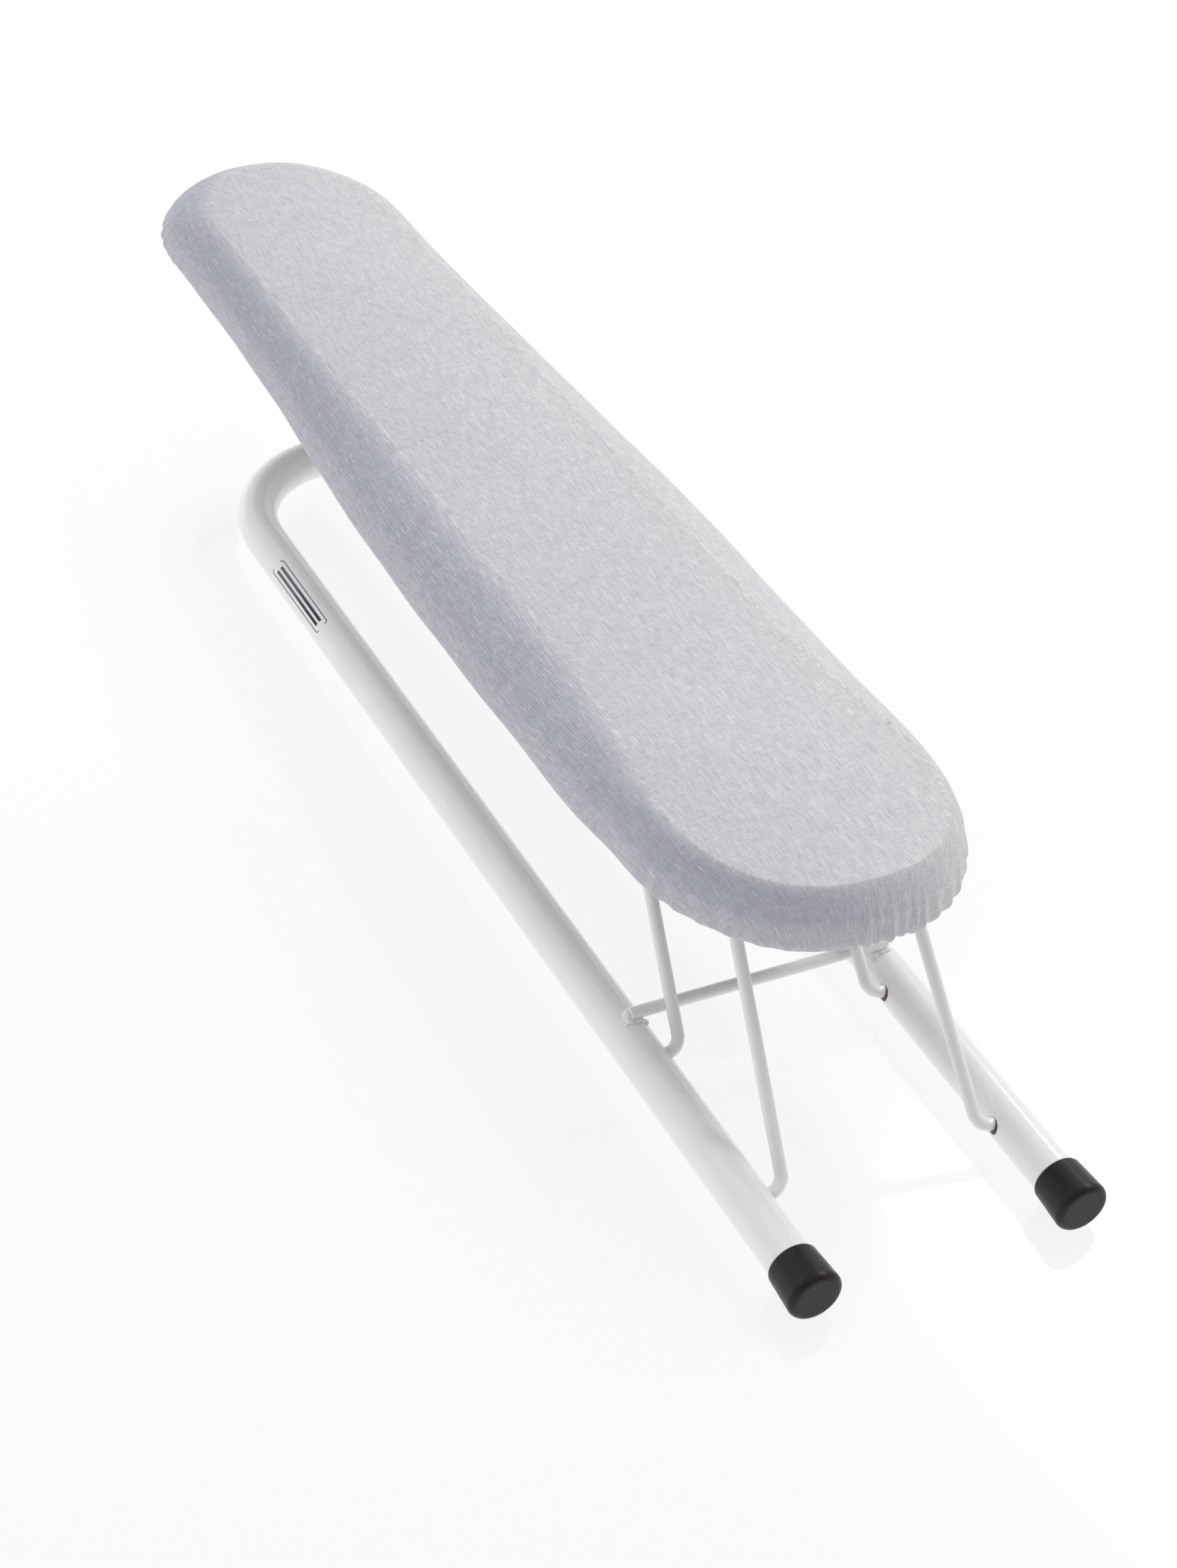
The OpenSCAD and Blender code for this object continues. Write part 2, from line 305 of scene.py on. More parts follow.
def cap_plastic(n, place):
    """Satin black moulded plastic, fine-grained, scuffed grey, and browner on its closed end."""
    fine = n.noise(place, 3.2, 2, 0.55)
    scuff = n.noise(place, 0.6, 4, 0.65, (1, 1, 0.35))
    end = n.step(n.split(place)[0], 294.8, 296.2)
    colour = n.mix(n.step(scuff, 0.45, 0.8), (0.008, 0.008, 0.0105), (0.018, 0.018, 0.022))
    colour = n.mix(n.math("MULTIPLY", end, 0.8), colour, (0.016, 0.0095, 0.0085))
    return {
        "Base Color": colour,
        "Roughness": n.step(scuff, 0.3, 0.8, 0.3, 0.46),
        "Normal": n.bump(n.math("MULTIPLY_ADD", scuff, 0.3, fine), 0.00006, 0.55),
    }


def galvanised(n, place, dark=(0.27, 0.28, 0.29), light=(0.5, 0.51, 0.52),
               brush=(0.05, 2.2, 1)):
    """Zinc-coated sheet: drawn lines along its length, spangle and a few dull stains."""
    lines = n.noise(place, 1.0, 3, 0.6, brush)
    cells = n.add("ShaderNodeTexVoronoi", feature="F1")
    n.put(n.vec("MULTIPLY", place, (0.16, 0.16, 0.16)), cells.inputs["Vector"])
    spangle = n.split(cells.outputs["Color"])[0]
    stain = n.noise(place, 0.03, 4, 0.65)
    tone = n.math("ADD", n.math("MULTIPLY", lines, 0.65), n.math("MULTIPLY", spangle, 0.25))
    colour = n.mix(n.step(tone, 0.25, 0.65), dark, light)
    colour = n.mix(n.step(stain, 0.52, 0.8, 0.0, 0.5), colour, (0.2, 0.19, 0.175))
    return {
        "Base Color": colour,
        "Roughness": n.step(tone, 0.2, 0.7, 0.3, 0.5),
        "Normal": n.bump(lines, 0.00003, 0.4),
    }


def bracket_metal(n, place):
    return galvanised(n, place, (0.2, 0.205, 0.215), (0.38, 0.385, 0.4), (2.2, 0.06, 1))


def rivet_metal(n, place):
    """Steel rivets, dulled, with rust creeping in from the edge of the heads."""
    spots = n.noise(place, 0.7, 4, 0.65)
    return {
        "Base Color": n.mix(n.step(spots, 0.5, 0.68), (0.3, 0.29, 0.28), (0.17, 0.075, 0.04)),
        "Roughness": n.step(spots, 0.45, 0.7, 0.32, 0.75),
        "Metallic": n.step(spots, 0.5, 0.68, 1.0, 0.2),
        "Normal": n.bump(spots, 0.00012, 0.5),
    }


WARP_PITCH, WEFT_PITCH = 0.42, 0.46  # millimetres from thread to thread
ROW_PITCH, RIB_PITCH = 1.15, 1.05  # the slower, fainter rows across and along the cloth


def threads(n, place, pitch, seed):
    """Height, tone and number of threads that run along X and change tone as they go."""
    x, y, _ = n.split(place)
    row = n.math("FLOOR", n.math("DIVIDE", y, pitch))
    across = n.math("SUBTRACT", n.math("DIVIDE", y, pitch), row)
    round_top = n.math("SINE", n.math("MULTIPLY", across, math.pi))
    along = n.join(n.math("MULTIPLY", x, 0.16), n.math("MULTIPLY", row, 7.31), float(seed))
    tone = n.noise(along, 1.0, 3, 0.62)
    return round_top, tone, row


def cloth_weave(n, place):
    """Blue-grey melange cotton, drawn on the flat cut, so that its threads bend with the cloth. The
    third number there is how far painted shade turns it to a darker, bluer colour on the flank."""
    flat = n.add("ShaderNodeAttribute", attribute_name="cut").outputs["Vector"]
    u, v, painted_shade_share = n.split(flat)

    def wandering(value, scale):
        noise = n.math("SUBTRACT", n.noise(flat, scale, 2), 0.5)
        return n.math("ADD", value, n.math("MULTIPLY", noise, 1.6))

    v2, u2 = wandering(v, 0.02), wandering(u, 0.017)
    h1, t1, r1 = threads(n, n.join(u, v2, 0.0), WARP_PITCH, 3)
    h2, t2, r2 = threads(n, n.join(v, u2, 0.0), WEFT_PITCH, 17)
    # a plain weave: which of the two threads lies on top
    over = n.math("ABSOLUTE", n.math("MODULO", n.math("ADD", r1, r2), 2.0))
    up1 = n.step(over, 0.4, 0.6)
    tone = n.math("ADD", n.math("MULTIPLY", t1, 0.62), n.math("MULTIPLY", t2, 0.38))
    streak = n.noise(flat, 1.0, 3, 0.65, (0.13, 2.1, 0))
    cross = n.noise(flat, 1.0, 3, 0.65, (2.0, 0.17, 0))
    rows = n.math("SINE", n.math("MULTIPLY", u2, 2 * math.pi / ROW_PITCH))
    ribs = n.math("SINE", n.math("MULTIPLY", v2, 2 * math.pi / RIB_PITCH))
    broad = n.noise(flat, 0.012, 2, 0.5)
    # slubs: short thick pale stretches of single threads, both ways
    slub1 = n.step(n.noise(flat, 1.0, 1, 0.4, (0.17, 1.9, 0)), 0.65, 0.76)
    elsewhere = n.vec("ADD", flat, (41.0, 13.0, 5.0))
    slub2 = n.step(n.noise(elsewhere, 1.0, 1, 0.4, (1.9, 0.19, 0)), 0.67, 0.78)
    mixed = n.math("MULTIPLY_ADD", streak, 0.5, n.math("MULTIPLY", tone, 0.75))
    for part, share in ((cross, 0.17), (broad, 0.07), (rows, 0.022), (ribs, 0.03)):
        mixed = n.math("MULTIPLY_ADD", part, share, mixed)
    colour = n.mix(n.step(mixed, 0.42, 1.1), (0.475, 0.47, 0.50), (0.91, 0.90, 0.91))
    # painted shade: a darker, bluer copy of the cloth's colour, mixed in on the flank
    shaded = n.mix(1.0, colour, (0.69, 0.715, 0.80), "MULTIPLY")
    colour = n.mix(painted_shade_share, colour, shaded)
    pale = n.math("MAXIMUM", n.math("MULTIPLY", slub1, 0.6), n.math("MULTIPLY", slub2, 0.55))
    colour = n.mix(pale, colour, (0.95, 0.945, 0.93))
    lift1 = n.math("MULTIPLY", h1, n.math("MULTIPLY_ADD", up1, 0.5, 0.5))
    lift2 = n.math("MULTIPLY", h2, n.math("MULTIPLY_ADD", up1, -0.5, 1.0))
    height = n.math("MAXIMUM", lift1, lift2)
    # painted shade between the threads: the low places of the weave are darkened
    thread_gap_shade = n.step(height, 0.1, 0.6, 0.82, 1.03)
    colour = n.mix(1.0, colour, n.join(thread_gap_shade, thread_gap_shade, thread_gap_shade), "MULTIPLY")
    height = n.math("ADD", height, n.math("MULTIPLY", pale, 0.7))
    soft = n.noise(flat, 0.09, 3, 0.55)
    fine = n.bump(height, 0.00009, 0.65)
    return {
        "Base Color": colour,
        "Roughness": 0.86,
        "Normal": n.bump(soft, 0.0005, 0.35, fine),
    }


def foam(n, place):
    cells = n.add("ShaderNodeTexVoronoi", feature="DISTANCE_TO_EDGE")
    n.put(n.vec("MULTIPLY", place, (1.1, 1.1, 1.1)), cells.inputs["Vector"])
    pores = n.step(cells.outputs[0], 0.02, 0.2)
    return {
        "Base Color": n.mix(pores, (0.92, 0.9, 0.82), (0.62, 0.58, 0.46)),
        "Roughness": 0.95,
        "Normal": n.bump(pores, 0.0003, 0.8),
    }


def tape(n, place):
    ribs = n.noise(place, 1.0, 2, 0.5, (1.4, 1.4, 0.2))
    fibres = n.noise(place, 3.0, 2)
    return {
        "Base Color": n.mix(ribs, (0.8, 0.79, 0.76), (0.62, 0.61, 0.58)),
        "Roughness": 0.85,
        "Normal": n.bump(n.math("MULTIPLY_ADD", fibres, 0.4, ribs), 0.0002, 0.8),
    }


def thread_fibre(n, place):
    twist = n.noise(place, 4.0, 2, 0.6)
    return {
        "Base Color": n.mix(twist, (0.5, 0.52, 0.6), (0.74, 0.75, 0.78)),
        "Roughness": 0.7,
        "Normal": n.bump(twist, 0.0001, 0.6),
    }


def ink(n, place):
    wear = n.noise(place, 1.5, 4, 0.6)
    faded = n.step(wear, 0.55, 0.8, 0.0, 0.4)
    return {
        "Base Color": n.mix(faded, (0.045, 0.055, 0.075), (0.2, 0.21, 0.23)),
        "Roughness": n.step(wear, 0.3, 0.8, 0.25, 0.5),
    }


COATED = {"IOR": 1.5, "Coat_Weight": 0.5, "Coat_Roughness": 0.05}
white_tube = material("white_tube", tube_coat, **COATED)
white_wire = material("white_wire", wire_coat, **COATED)
white_weld = material("white_weld", weld_coat, IOR=1.5, Coat_Weight=0.25, Coat_Roughness=0.15)
black_cap = material("black_cap", cap_plastic, IOR=1.5, Specular_IOR_Level=0.27)
sheet_steel = material("sheet_steel", galvanised, Metallic=0.9)
bracket_steel = material("bracket_steel", bracket_metal, Metallic=0.9)
rivet_steel = material("rivet_steel", rivet_metal)
cover_cloth = material("cover_cloth", cloth_weave, Sheen_Weight=0.18, Sheen_Roughness=0.5,
                       Specular_IOR_Level=0.25)
pad_foam = material("pad_foam", foam, Specular_IOR_Level=0.2)
elastic_tape = material("elastic_tape", tape, Sheen_Weight=0.2)
hem_thread = material("hem_thread", thread_fibre, Sheen_Weight=0.1)
badge_ink = material("badge_ink", ink, IOR=1.5)

FINISHES = {
    "base_tube": white_tube, "crossbar": white_wire, "crossbar_welds": white_weld,
    "front_bow": white_wire, "rear_bow": white_wire,
    "left_end_cap": black_cap, "right_end_cap": black_cap,
    "board_plate": sheet_steel, "plate_rib": sheet_steel, "bow_bracket": bracket_steel,
    "bracket_rivets": rivet_steel, "front_elastic": elastic_tape, "nose_elastic": elastic_tape,
}
for name, finish in FINISHES.items():
    data = nodes[name].data
    if not data.materials:
        data.materials.append(finish)
    for k in range(len(data.materials)):
        data.materials[k] = finish


# -------------------------------------------------- the covered board's shape
TAPER_X, TAPER_L = 24, 237  # where the board starts to narrow towards the nose, and how far on
WIDE_END, NOSE_END = (92, 2.35), (60, 2.2)  # each end's length and the power of its rounding
RISE_POWER, LEAN_POWER = 1.4, 1.35  # the flank's curve
ROW_POWER = 1.25  # how its rows crowd towards the top's edge
MIDDLE_LEAN = 20  # the lean that stands for all when lengths along the cloth are measured


def smooth(t):
    t = np.clip(t, 0, 1)
    return t * t * (3 - 2 * t)


def half_width(x):
    """Half the board's width at x."""

    def end(reach, r, power):
        part = 1 - np.clip(reach / r, 0, 1)
        return np.where(reach >= r, 1, (1 - part ** power) ** (1 / power))

    side = (BOARD_W - (BOARD_W - NOSE_W) * smooth((TAPER_X - x) / TAPER_L)) / 2
    wide = end(np.maximum(0, WIDE_X - x), *WIDE_END)
    return side * wide * end(np.maximum(0, x - NOSE_X), *NOSE_END)


def make_outline(half):
    """half + 1 points from the wide end's tip to the nose's tip along +Y, then back along -Y, closer
    together round both ends. With them come their inward normals, their distances along the edge
    from the wide tip, positive on +Y, and the distance from tip to tip."""
    t = np.linspace(0, 1, 6001)
    bunched = 1 + 0.08 * np.sin(np.pi * t) ** 2
    x = (WIDE_X + NOSE_X) / 2 + (WIDE_X - NOSE_X) / 2 * np.cos(np.pi * t) * bunched
    y = half_width(x)
    s = np.concatenate([[0], np.cumsum(np.hypot(np.diff(x), np.diff(y)))])
    density = 1 + 2.2 * np.exp(-((s / 120) ** 4)) + 1.6 * np.exp(-(((s[-1] - s) / 95) ** 4))
    share = np.concatenate([[0], np.cumsum((density[1:] + density[:-1]) / 2 * np.diff(s))])
    at = np.interp(np.linspace(0, share[-1], half + 1), share, s)
    window = 41
    kernel = np.ones(window) / window

    def slope(values):
        padded = np.pad(np.gradient(values, s), window // 2, "edge")
        return np.interp(at, s, np.convolve(padded, kernel, "valid"))

    nx, ny = -slope(y), slope(x)
    nx[0], ny[0], nx[-1], ny[-1] = -1, 0, 1, 0
    nx, ny = nx / np.hypot(nx, ny), ny / np.hypot(nx, ny)

    def both_sides(values, mirror):
        return np.concatenate([values, mirror * values[-2:0:-1]])

    points = np.stack([both_sides(np.interp(at, s, x), 1), both_sides(np.interp(at, s, y), -1)], -1)
    normals = np.stack([both_sides(nx, 1), both_sides(ny, -1)], -1)
    return points, normals, both_sides(at, -1), s[-1]


def lean_in(x):
    """How far the flank leans in: 24 at mid-length, 8 at the wide end, 15 to 23 at the nose."""
    towards_wide, towards_nose = smooth((x - 80) / 140), smooth((-10 - x) / 160)
    return 24 - 16 * towards_wide - 9 * towards_nose + 8 * smooth((-225 - x) / 60)


def flank(skin, rows):
    """The section from the top's edge down to the widest line, skin under the cover's outside. Its
    points are a distance in from the outline, a height, and the share of the lean that is added."""
    a = np.radians(90 * (1 - np.linspace(0, 1, rows) ** ROW_POWER))
    height = WIDEST_Z + (TOP_Z - skin - WIDEST_Z) * np.sin(a) ** (2 / RISE_POWER)
    return np.stack([skin + 0 * a, height, 1 - np.abs(np.cos(a)) ** (2 / LEAN_POWER)], -1)


def tuck(rows):
    """From the widest line round under the board to where the hem starts."""
    a = np.radians(np.linspace(0, 90, rows + 1)[1:])
    height = WIDEST_Z - (WIDEST_Z - UNDER_Z) * np.sin(a)
    return np.stack([HEM_FROM * (1 - np.cos(a)), height, 0 * a], -1)


def straight(places):
    """Points of the section below the flank."""
    return np.array([[d, z, 0] for d, z in places], float)


def section_run(section):
    """Length along the section from its first point."""
    flat = np.stack([section[:, 0] + MIDDLE_LEAN * section[:, 2], section[:, 1]], -1)
    return np.concatenate([[0], np.cumsum(np.hypot(*np.diff(flat, axis=0).T))])


def mesh_object(name, points, faces, mat, body):
    data = bpy.data.meshes.new(name)
    data.from_pydata(np.asarray(points).tolist(), [], [list(map(int, f)) for f in faces])
    data.materials.append(mat)
    data.polygons.foreach_set("use_smooth", np.ones(len(data.polygons), bool))
    data.update()
    obj = bpy.data.objects.new(name, data)
    bpy.context.scene.collection.objects.link(obj)
    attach(obj, body)
    return obj


def board_grid(outline, normals, section, columns, shift):
    """A sheet over the board: a cap of strips across the top and rows down the section. Returns the
    points, their places on the flat cut with the share of painted shade as a third number, and the
    faces. shift(points, k) moves row k."""
    count = len(outline)
    half = count // 2
    lean = lean_in(outline[:, 0])[:, None]
    rows = [np.concatenate([outline + (d + share * lean) * normals, np.full((count, 1), z)], 1)
            for d, z, share in section]
    top = rows[0][:, :2]
    # near sets how much painted shade the flank takes: all of it on -Y, little on +Y
    near = 0.5 - 0.5 * np.tanh(outline[:, 1] / 25)  # 1 on the long side at -Y, 0 on the one at +Y
    cuts = []
    for r in section_run(section):
        # painted shade on the flank: strongest about 13 mm below the top's edge, never under 0.55
        # further down
        upper = 1.2 * math.exp(-(((r - 13) / 12) ** 2))
        painted_shade_share = np.clip(upper, 0.55 * smooth((r - 5) / 10), 1) * (0.05 + 0.95 * near)
        cuts.append(np.concatenate([top - normals * r, painted_shade_share[:, None]], 1))
    rows = [shift(p, k) for k, p in enumerate(rows)]
    pts, cut = [p for r in rows for p in r], [c for r in cuts for c in r]
    faces = []
    for k in range(len(section) - 1):
        for i in range(count):
            j = (i + 1) % count
            faces.append((k * count + i, (k + 1) * count + i, (k + 1) * count + j, k * count + j))
    # strips across the top, between point i on +Y and its mirror image
    grid = {}
    for i in range(half + 1):
        left, right = i % count, (count - i) % count
        for c in range(columns + 1):
            if left == right or c == 0:
                grid[i, c] = left
            elif c == columns:
                grid[i, c] = right
            else:
                u = c / columns
                grid[i, c] = len(pts)
                pts.append(rows[0][left] * (1 - u) + rows[0][right] * u)
                cut.append(cuts[0][left] * (1 - u) + cuts[0][right] * u)
    for i in range(half):
        for c in range(columns):
            quad = [grid[i, c], grid[i + 1, c], grid[i + 1, c + 1], grid[i, c + 1]]
            quad = [v for k, v in enumerate(quad) if v != quad[k - 1]]
            if len(quad) >= 3:
                faces.append(quad)
    return np.array(pts), np.array(cut), faces


def cut_run(cut, outline):
    """Distance of each point of the flat cut from the line where the top meets the flank."""
    gap = np.zeros(len(cut))
    batch = 4000
    for start in range(0, len(cut), batch):
        part = cut[start:start + batch, None, :2] - outline[None, ::4, :2]
        gap[start:start + batch] = np.sqrt((part ** 2).sum(-1)).min(1)
    return gap


def waves(s, parts):
    """The sum of sine waves, each with its length, height and phase."""
    return sum(a * np.sin(2 * np.pi * s / w + p) for w, a, p in parts)


def pull_in(s):
    """How far the skirt is drawn in where the elastic takes hold beside the wide end."""
    return 2.1 * np.exp(-(((s + 105) / 17) ** 2)) + 0.7 * np.exp(-(((s - 100) / 14) ** 2))


# -------------------------------------------------- the cover
def make_cover():
    outline, inward, s, length = make_outline(560)
    flank_rows, tuck_rows = 26, 9
    down = np.concatenate([flank(0, flank_rows), tuck(tuck_rows)])
    edge, fold_r = HEM_W - 1.0, HEM_T / 2
    hem = straight((d, UNDER_Z) for d in np.linspace(5.8, edge, 12))
    turn = straight((edge + math.sin(a), UNDER_Z + fold_r - fold_r * math.cos(a))
                    for a in np.radians([30, 60, 90, 120, 150]))
    back = straight((d, UNDER_Z + HEM_T) for d in np.linspace(edge, HEM_BACK_TO, 7))
    section = np.concatenate([down, hem, turn, back])
    run = section_run(section)
    skirt_end = run[flank_rows + tuck_rows - 1]
    at_wide = np.exp(-((s / 105) ** 4))
    at_nose = np.exp(-(((length - np.abs(s)) / 88) ** 4))
    ends = np.maximum(at_wide, at_nose)
    # pleats of the skirt round the wide end: place, width, height and slant
    pleats = [
        (-39, 2.6, 0.35, -3), (-31, 2.0, 0.3, -2), (-14, 1.5, 0.8, 2), (-10.2, 1.1, 0.9, 2),
        (-5.2, 1.4, 1.35, 1), (-1.4, 1.1, 1.1, 1), (3.4, 1.4, 1.3, 0), (8.6, 1.1, 0.8, -1),
        (13.2, 1.3, 1.4, -2), (16.4, 1.0, 1.1, -2), (23, 1.7, 0.6, -3), (31, 2.0, 0.5, -3),
        (40, 1.9, 0.6, -3), (49, 2.2, 0.45, -3), (58, 1.8, 0.5, -2), (70, 2.4, 0.4, -2),
        (-52, 2.2, 0.35, 2), (-63, 1.8, 0.4, 3), (-72, 2.3, 0.5, 3), (-81, 1.9, 0.45, 3),
    ]
    for side in (1, -1):
        place = length - 4
        while place > length - 84:
            pleats.append((side * place, rng.uniform(1.3, 2.4), rng.uniform(0.25, 0.7),
                           rng.uniform(-3, 3)))
            place -= rng.uniform(5, 11)
    ruffle = [(rng.uniform(5.2, 7.4), 0.55, rng.uniform(0, 6.28)) for _ in range(3)]
    ruffle += [(rng.uniform(3.4, 4.6), 0.3, rng.uniform(0, 6.28)) for _ in range(2)]
    second_ruffle = [(0.93 * w, a, p + 1.3) for w, a, p in ruffle]
    lazy = [(rng.uniform(34, 60), 0.16, rng.uniform(0, 6.28)),
            (rng.uniform(80, 130), 0.2, rng.uniform(0, 6.28))]
    sag = [(47, 0.22, 0.4), (29, 0.14, 2.0)]
    puffs = waves(s, ruffle)
    loose = 1 - 0.8 * smooth((-s - 12) / 12) * smooth((250 + s) / 60)  # -Y is pulled smooth
    gather = np.maximum(ends, 0.07)
    drawn_in = pull_in(s)

    def shift(p, k):
        p = p.copy()
        deep = run[k] / skirt_end  # 0 at the top's edge, 1 where the skirt has turned under
        on_skirt = smooth((deep - 0.12) / 0.75)
        outward = np.zeros(len(s))
        for place, wide, high, slant in pleats:
            d = s - place - slant * (deep - 0.6)
            hollow = np.exp(-((d + 1.9 * wide) / (1.3 * wide)) ** 2)
            outward += high * (np.exp(-(d / wide) ** 2) - 0.55 * hollow)
        under = smooth((deep - 0.93) / 0.35)
        body = outward * on_skirt * (1 - under) * (0.45 + 0.55 * min(deep, 1))
        body += waves(s, lazy) * smooth(deep) * (1 - under)
        body += 0.35 * puffs * ends * loose * smooth((deep - 0.62) / 0.4) * (1 - under)
        body -= drawn_in * smooth((deep - 0.25) / 0.5)
        p[:, :2] -= inward * body[:, None]
        if deep > 0.8:  # the hem is drawn up into ruffles by its elastic
            reach = smooth((deep - 0.8) / 0.5)
            drop = np.clip(puffs, -1.1, 1.1) * gather * reach
            p[:, 2] += np.where(drop > 0, drop * 0.9, drop * 0.55)
            ripple = waves(s, second_ruffle) * gather * reach
            p[:, :2] -= inward * (0.75 * ripple)[:, None]
        p[:, 2] += waves(s, sag) * smooth((deep - 0.85) / 0.2)
        return p

    pts, cut, faces = board_grid(outline, inward, section, 44, shift)
    x, y = pts[:, 0], pts[:, 1]
    on_top = smooth((pts[:, 2] - 90) / 5)
    dents = sum(a * np.sin(x / w + p1) * np.cos(y / v + p2) for a, w, p1, v, p2 in (
        (0.10, 17, 0.3, 19, 1.0), (0.08, 9, 2.1, 30, 0.2), (0.07, 31, 4.0, 9, 2.6),
        (0.05, 6.1, 1.1, 14, 0.9)))
    pts[:, 2] += on_top * (dents - 0.22)
    obj = mesh_object("fabric_cover", on_bows(pts), faces, cover_cloth, "board")
    spot = obj.data.attributes.new("cut", "FLOAT_VECTOR", "POINT")
    spot.data.foreach_set("vector", cut.astype(np.float32).ravel())
    # the edge of the top is eased, as a pad's is, along the points near it
    crease = obj.vertex_groups.new(name="crease")
    edge_line = outline + lean_in(outline[:, 0])[:, None] * inward
    near = np.flatnonzero((cut_run(cut, edge_line) < 11) & (pts[:, 2] > 88))
    crease.add([int(i) for i in near], 1.0, "REPLACE")
    ease = obj.modifiers.new("ease", "SMOOTH")
    ease.factor, ease.iterations, ease.vertex_group = 0.5, 28, "crease"
    thick = obj.modifiers.new("cloth", "SOLIDIFY")
    thick.thickness, thick.offset, thick.use_even_offset = 0.00045, -1, False
    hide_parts("cover")
    return obj, outline, inward, s, length


cover, outline, inward, along, half_length = make_cover()


# -------------------------------------------------- the hem's stitches
def make_stitches():
    """One row of short thread stitches round the hem, on the underside of the board."""
    seam, pitch, stitch_l, sides = 12.2, 3.1, 2.35, 6
    order = np.argsort(along)
    ring, s = (outline + seam * inward)[order], along[order]
    pts, faces = [], []
    for k in range(int(2 * half_length / pitch)):
        a = -half_length + 1 + k * pitch
        stops = np.linspace(a, a + stitch_l, 5)
        centre = np.stack([np.interp(stops, s, ring[:, 0]), np.interp(stops, s, ring[:, 1])], -1)
        step = centre[-1] - centre[0]
        step = step / np.hypot(*step)
        side = np.array([-step[1], step[0]])
        for i, (c, r) in enumerate(zip(centre, (0.06, 0.17, 0.2, 0.17, 0.06))):
            drop = UNDER_Z - 0.02 - 0.16 * math.sin(math.pi * i / 4)
            for q in range(sides):
                t = 2 * math.pi * q / sides
                pts.append([c[0] + side[0] * r * math.cos(t), c[1] + side[1] * r * math.cos(t),
                            drop + r * math.sin(t)])
        base = k * 5 * sides
        for i in range(base, base + 4 * sides, sides):
            for q in range(sides):
                w = (q + 1) % sides
                faces.append((i + q, i + w, i + sides + w, i + sides + q))
        faces.append([base + q for q in range(sides)][::-1])
        faces.append([base + 4 * sides + q for q in range(sides)])
    obj = mesh_object("hem_stitches", on_bows(np.array(pts)), faces, hem_thread, "board")
    return obj


stitches = make_stitches()


# -------------------------------------------------- the pad under the cover
def make_pad():
    points, normals, s, _ = make_outline(190)
    skin, rim, foot_z, plate_z = 1.35, 10.05, 75.5, 86.02  # the pad ends clear of the plate's rim
    down = flank(skin, 14)
    foot = straight(((skin + 0.5, foot_z + 0.7), (skin + 1.2, foot_z + 0.2), (skin + 2.2, foot_z),
                     (9.0, foot_z), (rim, foot_z + 0.1)))
    inner = straight(((rim, 80.0), (rim, 85.3), (10.8, plate_z), (20.0, plate_z)))
    section = np.concatenate([down, foot, inner])
    drawn_in = pull_in(s)

    def shift(p, k):
        p = p.copy()
        if k < len(down) + 3:
            p[:, :2] += normals * (drawn_in * smooth((k - 2) / 7))[:, None]
        return p

    pts, _, faces = board_grid(points, normals, section, 16, shift)
    count = len(points)
    last = (len(section) - 1) * count
    half = count // 2
    for i in range(half):  # the flat underside, against the plate
        a, b = last + i, last + i + 1
        c, d = last + (count - i - 1) % count, last + (count - i) % count
        quad = list(dict.fromkeys((a, d, c, b)))
        if len(quad) >= 3:
            faces.append(quad)
    obj = mesh_object("foam_padding", on_bows(pts), faces, pad_foam, "board")
    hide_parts("foam_pad")
    return obj


pad = make_pad()


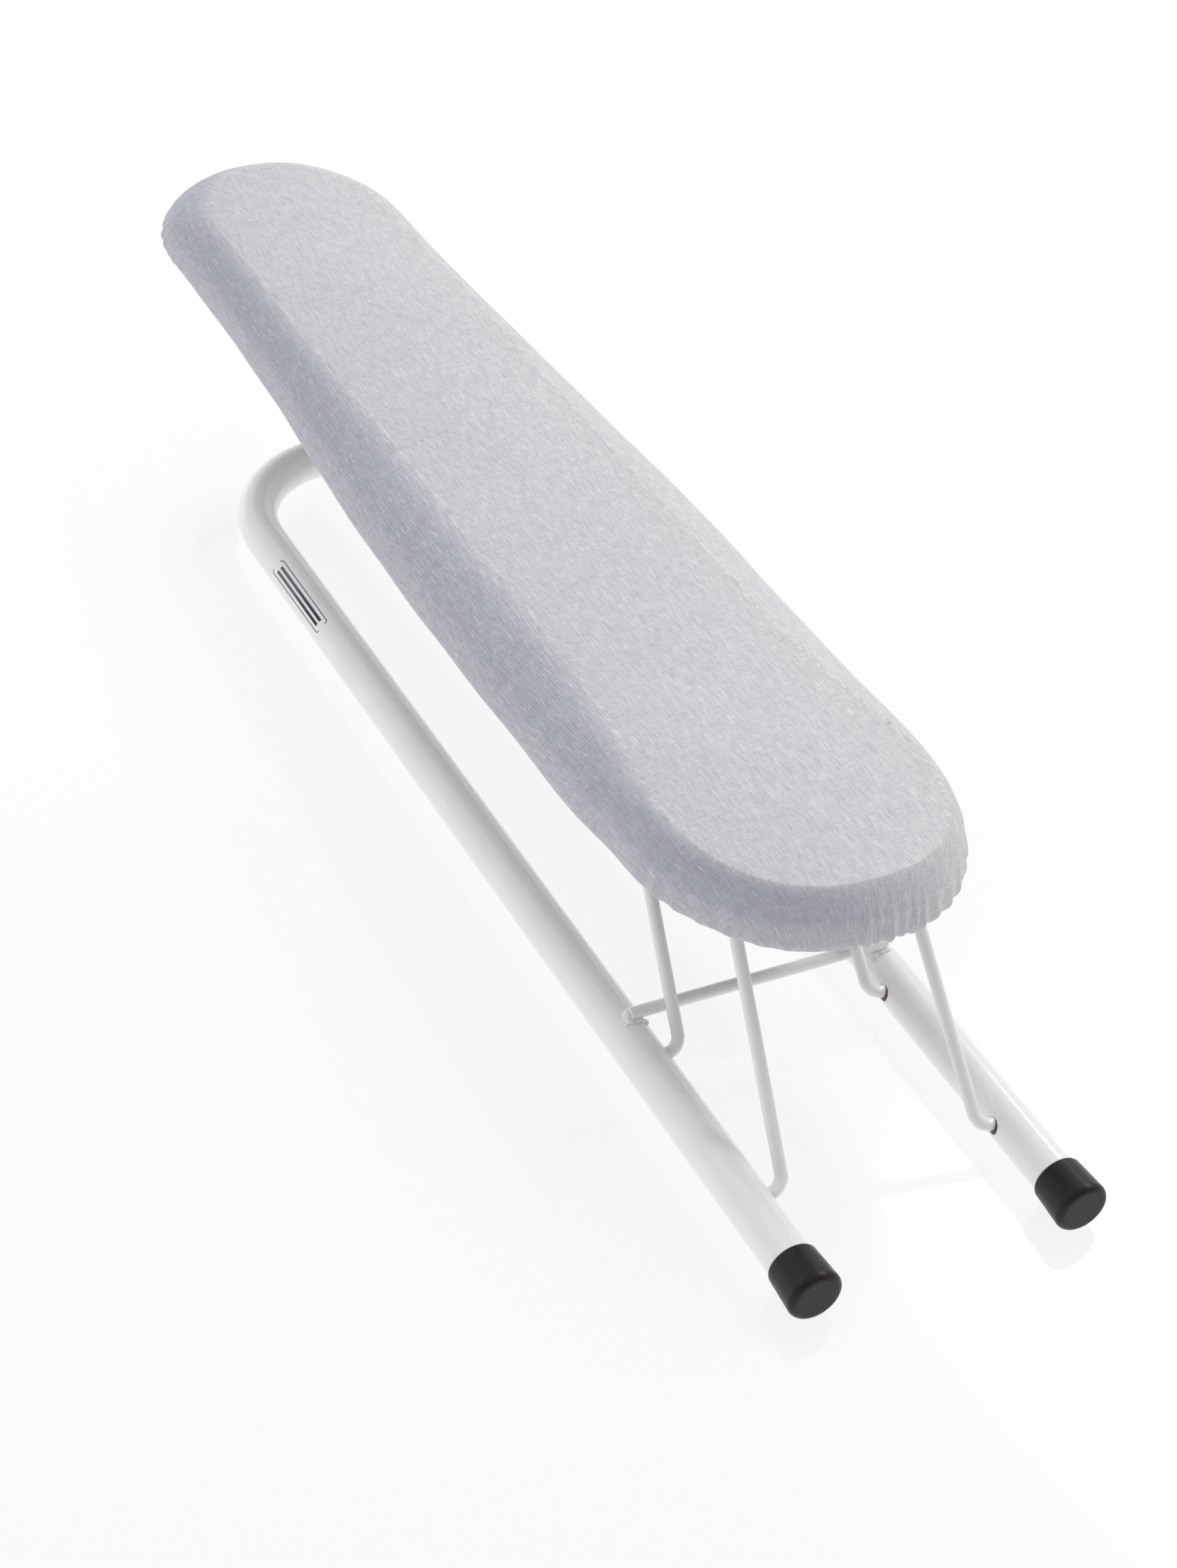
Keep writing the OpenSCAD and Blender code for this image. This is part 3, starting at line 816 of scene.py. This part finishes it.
# -------------------------------------------------- weld beads at the crossbar's ends
def make_welds():
    """Low, run-together beads and a little spatter where the crossbar's ends meet the tubes."""
    bm = bmesh.new()

    def bead(x, y, z, r, flat=1.0, long=1.0):
        place = Vector(placed([x, y, z]))
        size = Matrix.Diagonal((r * long * 0.001, r * 0.001, r * flat * 0.001, 1))
        bmesh.ops.create_icosphere(bm, subdivisions=3, radius=1.0,
                                   matrix=Matrix.Translation(place) @ size)

    for side in (-1, 1):
        for dx in (-1, 1):
            for k in range(9):
                off = 5.6 - 0.78 * k
                z = math.sqrt(TUBE_R**2 - off**2)
                reach = 1.75 + rng.uniform(-0.15, 0.3)
                bead(CROSSBAR_X + dx * reach, side * (TUBE_Y - off), z + 0.15,
                     rng.uniform(0.95, 1.3), 0.85, 1.2)
        for k in range(6):
            a = math.pi * k / 5
            bead(CROSSBAR_X + 2.0 * math.cos(a), side * (50.1 + 0.9 * math.sin(a)), 8.1,
                 rng.uniform(0.9, 1.25), 0.9)
        bead(CROSSBAR_X - 0.4, side * 50.2, 9.7, 1.9, 0.9)
        for _ in range(7):  # spatter
            off = rng.uniform(-3.2, 2.5)
            z = math.sqrt(TUBE_R**2 - off**2)
            bead(CROSSBAR_X + rng.uniform(-4.2, 4.2), side * (TUBE_Y - off), z,
                 rng.uniform(0.3, 0.6), 0.6, rng.uniform(1, 2.2))
    data = bpy.data.meshes.new("beads")
    bm.to_mesh(data)
    bm.free()
    rough = bpy.data.objects.new("beads", data)
    bpy.context.scene.collection.objects.link(rough)
    mod = rough.modifiers.new("blend", "REMESH")
    mod.mode, mod.voxel_size = "VOXEL", 0.00022
    even = rough.modifiers.new("even", "SMOOTH")
    even.factor, even.iterations = 0.5, 5
    rough = rough.evaluated_get(bpy.context.evaluated_depsgraph_get())
    done = bpy.data.meshes.new_from_object(rough)
    bpy.data.objects.remove(rough.original)
    done.materials.clear()
    done.materials.append(white_weld)
    done.polygons.foreach_set("use_smooth", np.ones(len(done.polygons), bool))
    obj = bpy.data.objects.new("weld_beads", done)
    bpy.context.scene.collection.objects.link(obj)
    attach(obj, "base")
    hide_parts("crossbar_welds")
    return obj


make_welds()


# -------------------------------------------------- a plain badge on the left tube
def make_badge():
    """A rounded frame with two plain bars, printed on the tube. It carries no lettering."""
    radius, centre, spread = 8.03, 50.0, 3.35  # centre is in degrees out from the tube's top
    x0, x1 = -116.0, -72.0
    line, bar_inset, steps = 0.35, 3.0, 5

    def wrap(loop):
        pts = []
        for x, w in loop:
            a = math.radians(centre) + w / TUBE_R
            pts.append([x, -TUBE_Y - radius * math.sin(a), radius * math.cos(a)])
        return pts

    def rounded(inset, r, n=6):
        loop = []
        right, left, top = x1 - inset - r, x0 + inset + r, spread - inset - r
        corners = (right, top, 0), (left, top, 90), (left, -top, 180), (right, -top, 270)
        for cx, cw, start in corners:
            for k in range(n + 1):
                t = math.radians(start + 90 * k / n)
                loop.append((cx + r * math.cos(t), cw + r * math.sin(t)))
        return loop

    outer, inner = rounded(0, 1.3), rounded(line, 1.0)
    m = len(outer)
    pts = wrap(outer) + wrap(inner)
    faces = [(i, m + i, m + (i + 1) % m, (i + 1) % m) for i in range(m)]
    for low, high in ((-1.7, -0.5), (0.5, 1.7)):
        base = len(pts)
        for k in range(steps + 1):
            w = low + (high - low) * k / steps
            pts += wrap([(x0 + bar_inset, w), (x1 - bar_inset, w)])
        for k in range(base, base + 2 * steps, 2):
            faces.append((k, k + 2, k + 3, k + 1))
    obj = mesh_object("plain_badge", placed(np.array(pts)), faces, badge_ink, "base")
    thick = obj.modifiers.new("film", "SOLIDIFY")
    thick.thickness, thick.offset = 0.00006, 0
    return obj


make_badge()
